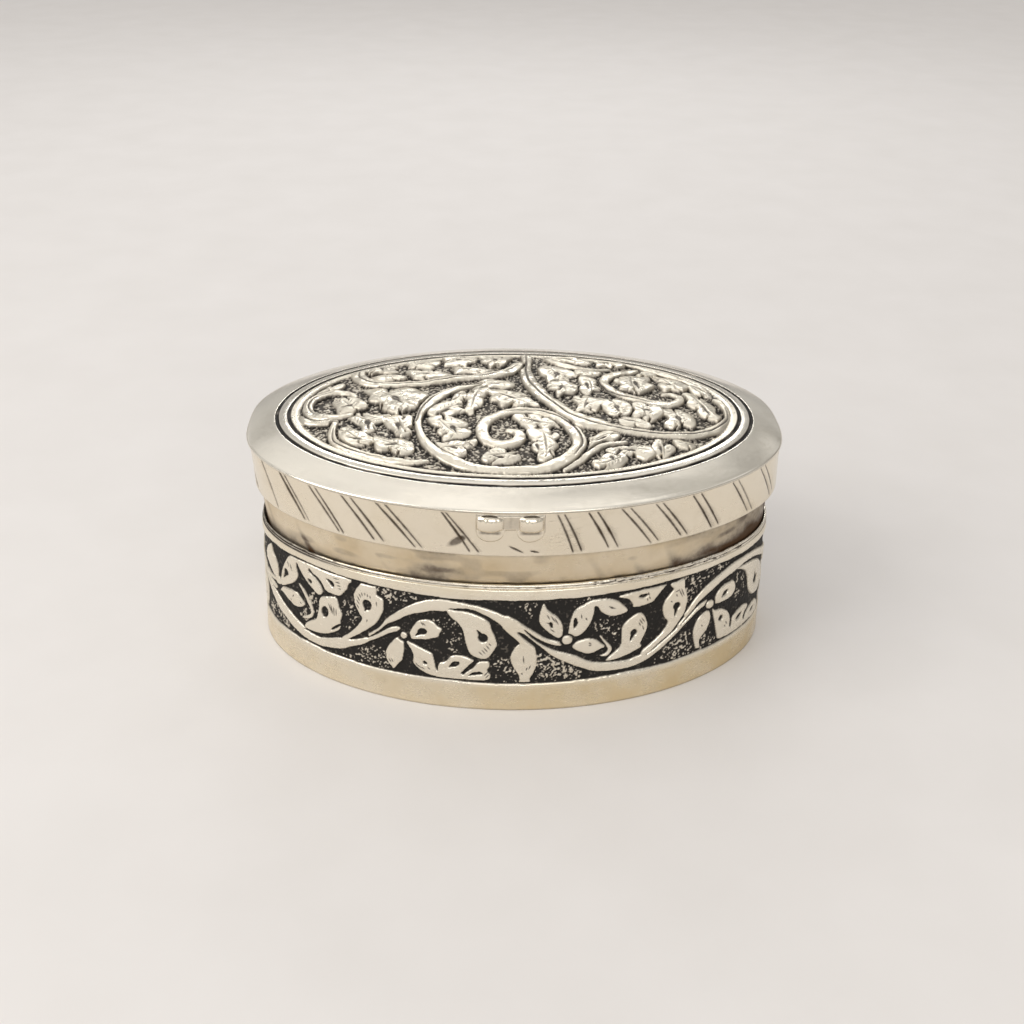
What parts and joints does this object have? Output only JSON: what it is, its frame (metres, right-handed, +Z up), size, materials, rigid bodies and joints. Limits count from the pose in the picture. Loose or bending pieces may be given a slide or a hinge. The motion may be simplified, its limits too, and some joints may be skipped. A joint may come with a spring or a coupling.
{
  "type": "pill box",
  "caption": "Low oval silver box with a lift-off slip lid, a domed chased top, a slanted-line skirt and a blackened vine frieze round the base.",
  "frame": {"origin": "middle of the flat underside of the base", "axes": "+Z up, +X along the box's long axis, the thumb catch faces -Y"},
  "size_m": [0.08, 0.0544, 0.037],
  "materials": {
    "chased_silver": "hand-chased silver, bright on the high parts, blackened in the sunk ground",
    "plain_silver": "polished silver with fine scratches and a warm tone",
    "toned_silver": "satin silver toned brown, with darker streaks near the foot",
    "solder_silver": "filed solder and wire, uneven sheen",
    "bright_cut_silver": "polished silver with slanted graver cuts"
  },
  "bodies": {
    "base": {"base_floor": "plain_silver", "base_wall": "chased_silver", "neck_collar": "toned_silver", "seat_wire": "solder_silver"},
    "lid": {"lid_top": "chased_silver", "lid_skirt": "bright_cut_silver", "thumb_catch": "bright_cut_silver"}
  },
  "joints": [
    {"name": "lid_lift", "type": "slide", "parent": "base", "child": "lid", "axis": [0, 0, 1], "range_m": [0, 0.04]}
  ]
}
